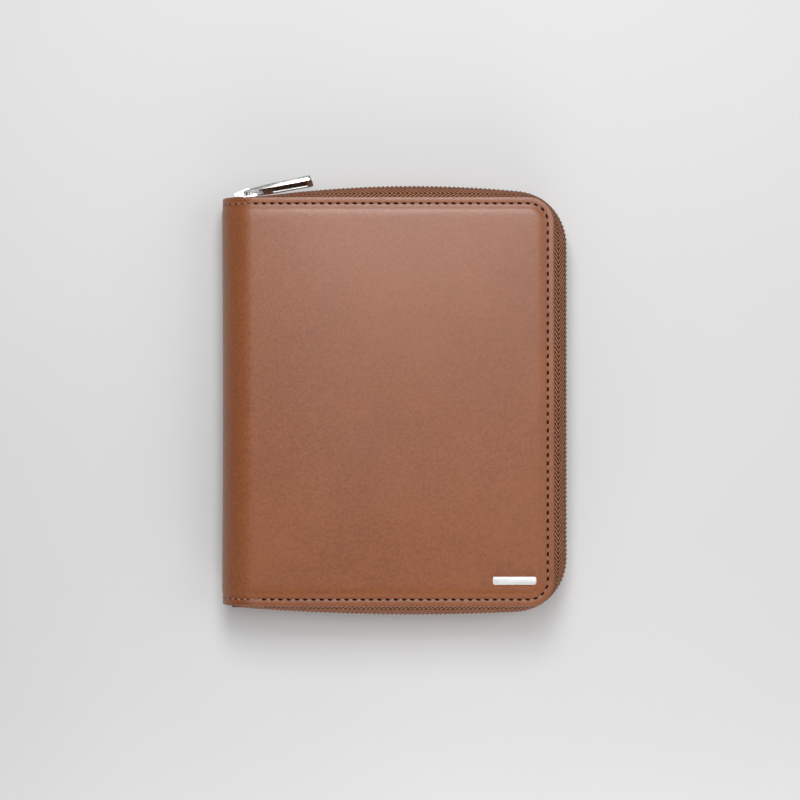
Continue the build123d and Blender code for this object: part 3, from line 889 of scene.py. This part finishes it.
# (length, width)
cover_thread, cover_hole = (2.1 * MM, 0.58 * MM), (1.85 * MM, 1.15 * MM)
pocket_thread, pocket_hole = (2.3 * MM, 0.5 * MM), (1.0 * MM, 0.55 * MM)
hole_sink = 0.02 * MM
front_path = cover_path(stitch_inset, spine_x + stitch_pitch / 2)
front_stitches, front_holes = stitched(
    "front_stitches", front_path, cover_stitch_z + 0.12 * MM, cover_thread, cover_hole, 9, -14
)
back_stitches, back_holes = twin(front_stitches, "back_stitches"), twin(front_holes, "back_holes")
for half, threads, holes in (("front", front_stitches, front_holes), ("back", back_stitches, back_holes)):
    hand(threads, f"{half}_half", "thread", f"{half}_stitch_thread")
    hand(holes, f"{half}_half", "thread")

# stitches round the spine's ends, each riding on the strip under it
spine_thread_turns = {
    "back_half": (0, 15), "spine_low": (30, 45, 60), "spine_mid": (75, 90, 105),
    "spine_high": (120, 135, 150), "front_half": (165, 180),
}


def spine_stitches(name, turns, lift, first, size, make):
    """Small stitches round both ends of the spine, at the given turns."""
    places = []
    for turn in turns:
        for y in (stitch_inset - head_y, head_y - stitch_inset):
            place = spine_place(turn + first, y, stitch_depth + lift)
            up = (place - Vector((spine_x, y, middle_z))).normalized()
            places.append(facing(place, Vector((0, 1, 0)).cross(up), up))
    return copies(make(*size), places, name)


for body, turns in spine_thread_turns.items():
    threads = spine_stitches(f"{body}_end_stitches", turns, 0.1 * MM, 0.0, cover_thread, new_thread)
    between = [turn for turn in turns if turn < 180]
    holes = spine_stitches(f"{body}_end_holes", between, -hole_sink, 7.4, cover_hole, new_hole_shade)
    for piece, made in ((threads, saddle_thread), (holes, hole_shade)):
        piece.data.materials.append(made)
        hand(piece, body, "thread")

# ---- zip tapes
tape_width = 17.0 * MM
tape_cloth_thickness = 0.42 * MM
tape_bore = spine_radius - 2.6 * MM
tape_tuck = 5.5 * MM         # how far it reaches in under the leather
ripple_height, ripple_length = 0.06 * MM, 23 * MM


def rim_behind(place, outward):
    """Where a line from the zip's outer face straight in meets the cover's edge."""
    outside, inside = -3 * MM, 20 * MM
    for _ in range(24):
        middle = (outside + inside) / 2
        spot = place - outward * middle
        if edge_distance(spot.x, spot.y) > 0:
            inside = middle
        else:
            outside = middle
    return place - outward * inside


def under_spine(x, y, z):
    """A point of the tape, kept within the round spine where it runs into it."""
    if x < spine_x and abs(y) < head_y + 0.4 * MM:
        z = min(z, middle_z + sqrt(max(tape_bore**2 - (x - spine_x) ** 2, 0)))
    return Vector((x, y, z))


def make_tape(name, from_x):
    """A tape of the front half: from under the cover's edge it swells out and hangs down to its coil."""
    outer = zip_path(0, from_x)
    length = path_length(outer)
    along, across = 320, 13

    def surface(share_across, share_along):
        place, outward = on_path(outer, share_along * length)
        rim = rim_behind(place, outward)
        reach = (place - rim).dot(outward)
        column = round(share_across * across)
        if column == 0:
            inner = rim - outward * tape_tuck
            return under_spine(inner.x, inner.y, thickness - 2.25 * MM)
        share = (column - 1) / (across - 1)
        near = min(max(0.3 * reach, -0.8 * MM), 0.9 * MM)
        stands = [-1.5 * MM, near, reach + 0.5 * MM, reach - 0.25 * MM]
        heights = [thickness - 2.2 * MM, thickness - 2.3 * MM, thickness - 7.4 * MM, middle_z + 0.9 * MM]
        weights = [(1 - share) ** 3, 3 * share * (1 - share) ** 2, 3 * share**2 * (1 - share), share**3]
        stand = sum(weight * value for weight, value in zip(weights, stands))
        ripple = ripple_height * sin(share_along * length / ripple_length) * 4 * share * (1 - share)
        spot = rim + outward * (stand + ripple)
        return under_spine(spot.x, spot.y, sum(weight * value for weight, value in zip(weights, heights)))

    piece = laid(name, across, along, surface, (tape_width, length))
    piece.data.flip_normals()
    outline = [surface(column / across, 0.5) for column in range(across + 1)]
    seen = [0.0]
    for first, second in zip(outline, outline[1:]):
        seen.append(seen[-1] + (second - first).length)
    for corner in piece.data.uv_layers[0].data:
        column = round(corner.uv[0] / tape_width * across)
        corner.uv[0] = seen[column] - seen[1]
    apply_modifier(piece, "SOLIDIFY", thickness=tape_cloth_thickness, offset=-1)
    dress(piece, tape_cloth, 50)
    return piece, (seen[-1], length * 0.985)


front_tape, front_tape_size = make_tape("front_tape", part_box("front_zip_tape")[0].x)
back_tape, back_tape_size = make_tape("tape", tape_low.x)
back_tape = moved_over(back_tape, "back_tape")
for tape, size, half in ((front_tape, front_tape_size, "front"), (back_tape, back_tape_size, "back")):
    hand(tape, f"{half}_half", "zip_tape", f"{half}_zip_tape")

# ---- zip teeth
wire = 0.3 * MM
tooth_stand = -0.58 * MM     # from the zip's outer face to the loop's middle
tooth_half_depth = 0.55 * MM
tooth_near, tooth_far = 0.36 * MM, 2.7 * MM
tooth_lean = 0.22            # along the zip, for each metre away from the middle


def new_tooth():
    """One loop of the coil, standing across the zip; +Y outward, +Z away from the other row."""
    deselect()
    size = {"major_radius": tooth_half_depth, "minor_radius": wire}
    bpy.ops.mesh.primitive_torus_add(major_segments=12, minor_segments=6, rotation=(0, pi / 2, 0), **size)
    tooth = finished("tooth")
    stretch = (tooth_far - tooth_near) / 2 - tooth_half_depth
    for vertex in tooth.data.vertices:
        share = min(max(vertex.co.z / (0.2 * MM), -1.0), 1.0)
        vertex.co.z += share * stretch + (tooth_far + tooth_near) / 2
        vertex.co.x += tooth_lean * vertex.co.z
        vertex.co.y += tooth_stand
    return tooth


def zip_teeth(name, from_x, shift):
    """The front half's row of loops, from a place along X round to the same place at the foot."""
    path = zip_path(0, from_x)
    count = int(path_length(path) / tooth_pitch) - 1
    places = []
    for number in range(count):
        place, outward = on_path(path, (number + 0.5 + shift) * tooth_pitch)
        turn = Matrix(((outward.y, outward.x, 0), (-outward.x, outward.y, 0), (0, 0, 1))).to_4x4()
        places.append(Matrix.Translation((place.x, place.y, middle_z)) @ turn)
    return copies(new_tooth(), places, name)


front_teeth = zip_teeth("front_teeth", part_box("front_zip_coil")[0].x, 0.0)
back_row = zip_teeth("row", coil_low.x + 0.4 * MM, 0.5)
back_teeth = moved_over(back_row, "back_teeth")
for teeth, half in ((front_teeth, "front"), (back_teeth, "back")):
    teeth.data.materials.append(coil_nylon)
    hand(teeth, f"{half}_half", "zip_coil", f"{half}_zip_coil")

# ---- metal
slider_slope = radians(8.904)
slider_along = Vector((cos(slider_slope), sin(slider_slope), 0))
slider_outward = Vector((-sin(slider_slope), cos(slider_slope), 0))
pivot_ahead, pivot_rise = 0.4 * MM, 2.3 * MM
slider_place = pivot - pivot_ahead * slider_along - pivot_rise * slider_outward
# the bail in the slider's own directions, in millimetres
bail_foot, bail_nose, bail_slope, bail_front, bail_solid_to = 0.9, 1.9, 0.2254, 4.7, -0.9


def fill_bail(bail):
    """Makes the bail's window smaller: solid at the nose, with a heavier top."""
    for vertex in bail.data.vertices:
        start = vertex.co - slider_place
        u, v = start.dot(slider_along) / MM, start.dot(slider_outward) / MM - bail_foot
        top = bail_nose + bail_slope * (u + bail_front)
        if 0.35 - bail_front < u < 2.05 and v < top - 0.35:
            new_u = max(u, bail_solid_to + 0.3 * (u + bail_front))
            new_v = v * (bail_nose + bail_slope * (new_u + bail_front) - 1.05) / (top - 0.7)
            vertex.co += (new_u - u) * MM * slider_along + (new_v - v) * MM * slider_outward


def softened(node, name, edge, made):
    """A copy of a frame node with merged faces and rounded edges."""
    source = frame["nodes"][node]
    piece = bpy.data.objects.new(name, source.data.copy())
    piece.data.transform(source.matrix_world)
    in_scene.link(piece)
    outward_normals(piece)
    edit_mode()
    select_all()
    bpy.ops.mesh.dissolve_limited(angle_limit=radians(2))
    object_mode()
    if node == "slider_bail":
        fill_bail(piece)
    soften(piece, edge, 3, 40)
    piece.data.materials.clear()
    dress(piece, made, 40)
    return piece


for node, body, edge, made in (
    ("slider_body", "slider", 0.14 * MM, nickel),
    ("slider_bail", "slider", 0.16 * MM, nickel),
    ("zip_end_stops", "back_half", 0.2 * MM, nickel),
):
    piece = softened(node, f"visual_{node}", edge, made)
    hand(piece, body, "polished_metal", node)

pull_angle = radians(11.2)
pull_lean = radians(18)
recess_from, recess_to = 10.5 * MM, 24.3 * MM
recess_depth = 0.4 * MM
window_half = 1.6 * MM       # of the eye's window, across
# the pull along its length, in millimetres: (place, half width, thickness)
pull_stations = [(-0.5, 2.5, 0.95), (0.5, 2.55, 1.0), (6.6, 3.05, 1.45), (8.4, 3.2, 1.6), (26.5, 3.5, 2.0)]


def pull_thickness(along):
    """The pull's thickness at a place along it."""
    for (start, _, thin), (end, _, thick) in zip(pull_stations, pull_stations[1:]):
        if along <= end * MM:
            return (thin + (thick - thin) * (along / MM - start) / (end - start)) * MM
    return pull_stations[-1][2] * MM


pull_corner, recess_border = 1.3 * MM, 1.2 * MM
pull_blade = 8.4 * MM        # where the flat blade starts


def make_pull():
    """The flat pull, tapering towards its windowed eye, in its own plane: X along it, Z outwards."""
    stretches = len(pull_stations) - 1
    def surface(share_across, share_along):
        along, half, _ = pull_stations[round(share_across * stretches)]
        rows = (-half * MM, -window_half, window_half, half * MM)
        return Vector((along * MM, rows[round(share_along * 3)], 0))

    pull = laid("pull", stretches, 3, surface)
    pick(pull, "FACE", lambda face: 1 * MM < face.center.x < 6 * MM and abs(face.center.y) < 1 * MM)
    bpy.ops.mesh.delete(type="FACE")
    pick(pull, "VERT", lambda vertex: vertex.co.x > 20 * MM and abs(vertex.co.y) > 3 * MM)
    round_corners(pull_corner, 6)
    select_all()
    bpy.ops.mesh.extrude_region_move(TRANSFORM_OT_translate={"value": (0, 0, 1 * MM)})
    object_mode()
    for vertex in pull.data.vertices:
        vertex.co.z = pull_thickness(vertex.co.x) * (0.5 if vertex.co.z > 0.5 * MM else -0.5)
    outward_normals(pull)
    for side in (1, -1):
        pick(pull, "FACE", lambda face: face.normal.z * side > 0.9 and face.center.x > pull_blade)
        bpy.ops.mesh.inset(thickness=recess_border)
        object_mode()
        ring = [vertex for vertex in pull.data.vertices if vertex.select]
        low, high = min(vertex.co.x for vertex in ring), max(vertex.co.x for vertex in ring)
        for vertex in ring:
            vertex.co.x = recess_from + (vertex.co.x - low) / (high - low) * (recess_to - recess_from)
        edit_mode()
        bpy.ops.mesh.inset(thickness=0.1 * MM, depth=-recess_depth)
        object_mode()
        # the recess faces take the second material, the darker metal painted in as shade
        for face in pull.data.polygons:
            if face.select:
                face.material_index = 1
    soften(pull, 0.2 * MM, 3, 35)
    return pull


pull = make_pull()
pull_along = Vector((cos(pull_angle), sin(pull_angle), 0))
pull_out = Matrix.Rotation(-pull_lean, 3, pull_along) @ Vector((-sin(pull_angle), cos(pull_angle), 0))
pull.data.transform(facing(pivot, pull_along, pull_out))
pull.data.materials.append(nickel)
dress(pull, recess_shade_nickel, 40)
hand(pull, "pull", "polished_metal", "zip_pull")


def make_corner_bar():
    """The plain polished bar on the front cover."""
    low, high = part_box("corner_badge")
    middle = (low + high) / 2
    deselect()
    bpy.ops.mesh.primitive_plane_add(size=1, location=(middle.x, middle.y, thickness - 0.1 * MM))
    bpy.context.object.scale = (high.x - low.x, high.y - low.y, 1)
    bar = finished("corner_bar")
    edit_mode()
    select_all()
    round_corners(0.8 * MM, 5)
    select_all()
    bpy.ops.mesh.extrude_region_move(TRANSFORM_OT_translate={"value": (0, 0, high.z - thickness + 0.1 * MM)})
    object_mode()
    outward_normals(bar)
    soften(bar, 0.2 * MM, 4, 40)
    dress(bar, satin_nickel, 40)
    return bar


corner_bar = make_corner_bar()
hand(corner_bar, "front_half", "polished_metal", "corner_badge")

# ---- pockets
panel = 0.8 * MM
pocket_gap = 0.4 * MM
seam = 2.0 * MM
pocket_mesh = 2.4 * MM
thumb_notch = 11.0 * MM


def make_pocket(node, name, half, open_side, notch=0.0):
    """A leather pocket panel: flat where it is sewn, standing off a little at its open edge."""
    low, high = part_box(node)
    base_z = low.z if half == "back" else thickness - high.z
    width, height = high.x - low.x, high.y - low.y
    across, along = round(width / pocket_mesh), round(height / pocket_mesh)
    middle_x = (low.x + high.x) / 2

    def inside(x, y):
        """How far a point is from the sewn edges, and from the open one."""
        if open_side == "spine":
            return min(high.x - x, y - low.y, high.y - y), x - low.x
        return min(x - low.x, high.x - x, y - low.y), high.y - y

    def surface(share_across, share_along):
        x, y = low.x + width * share_across, low.y + height * share_along
        if notch and abs(x - middle_x) < notch:
            dip = sqrt(notch**2 - (x - middle_x) ** 2)
            y = low.y + (height - dip) * share_along
        sewn, mouth = inside(x, y)
        rise = smooth(sewn / (2.6 * MM)) * (pocket_gap - 0.06 * MM)
        wave = 0.05 * MM * sin(x * 160 + y * 70) * smooth(sewn / (8 * MM))
        turned = -0.12 * MM * smooth(1 - abs(mouth - 1.9 * MM) / (0.7 * MM))
        return Vector((x, y, base_z + panel + rise + wave + turned))

    piece = laid(name, across, along, surface)
    apply_modifier(piece, "SOLIDIFY", thickness=panel, offset=-1)
    soften(piece, 0.22 * MM, 2, 50)
    store_inset(piece, lambda x, y: min(*inside(x, y)) + 0.2 * MM)
    edge_z = base_z + panel + 0.16 * MM
    left, right, foot, top = low.x + seam / 2, high.x - seam / 2, low.y + seam / 2, high.y - seam / 2
    if open_side == "spine":
        corners = [(low.x, top), (right, top), (right, foot), (low.x, foot)]
    else:
        corners = [(right, high.y), (right, foot), (left, foot), (left, high.y)]
    path = [straight(start, end) for start, end in zip(corners, corners[1:])]
    threads, holes = stitched(name + "_stitches", path, edge_z, pocket_thread, pocket_hole, 8, -12)
    dress(piece, inner_leather, 40)
    made = [piece, threads, holes]
    if half == "front":
        made = [moved_over(part, "front_" + part.name) for part in made]
    for part, slot, replaced in zip(made, ("leather", "thread", "thread"), (node, None, None)):
        hand(part, half + "_half", slot, replaced)


make_pocket("back_sleeve", "back_document_sleeve", "back", "spine")
make_pocket("passport_pocket", "passport_panel", "back", "head", thumb_notch)
make_pocket("ticket_pocket", "ticket_panel", "back", "head")
make_pocket("front_sleeve", "document_sleeve", "front", "spine")
for number in (1, 2, 3, 4):
    make_pocket(f"card_slot_{number}", f"card_panel_{number}", "front", "head")


# ---- pen loop
def make_pen_loop():
    """A loop of elastic tape whose two ends are sewn flat beside each other."""
    low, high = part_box("pen_loop")
    middle_x = (low.x + high.x) / 2
    elastic = 0.8 * MM
    radius = (high.z - low.z - 2 * elastic) / 2 + elastic / 2
    centre_z = low.z + elastic / 2 + radius
    foot_z = low.z + elastic / 2
    half_foot = (high.x - low.x) / 2
    foot = [(half_foot * share, foot_z) for share in (0.3, 0.6, 1)]
    loop = []
    for step in range(41):
        turn = radians(-107 - 326 * step / 40)
        loop.append((radius * cos(turn), max(centre_z + radius * sin(turn), foot_z)))
    outline = [(-x, z) for x, z in reversed(foot)] + loop + foot
    across, along = len(outline) - 1, 12

    def surface(share_across, share_along):
        x, z = outline[round(share_across * across)]
        return Vector((middle_x + x, low.y + (high.y - low.y) * share_along, z))

    total = sum(hypot(b[0] - a[0], b[1] - a[1]) for a, b in zip(outline, outline[1:]))
    piece = laid("elastic_loop", across, along, surface, (total, high.y - low.y))
    apply_modifier(piece, "SOLIDIFY", thickness=elastic - 0.05 * MM, offset=0)
    dress(piece, elastic_cloth, 60)
    return piece, (total, high.y - low.y)


elastic_loop, elastic_size = make_pen_loop()
hand(elastic_loop, "back_half", "elastic", "pen_loop")

# ---- the frame's foam and boards, and the table
for half in ("front", "back"):
    for part, made in (("foam", foam), ("board", grey_board)):
        node = frame["nodes"][f"{half}_cover_{part}"]
        node.data.materials.clear()
        node.data.materials.append(made)

deselect()
bpy.ops.mesh.primitive_plane_add(size=6, location=(0, 0, 0))
table = finished("table")
table.data.materials.append(table_top)
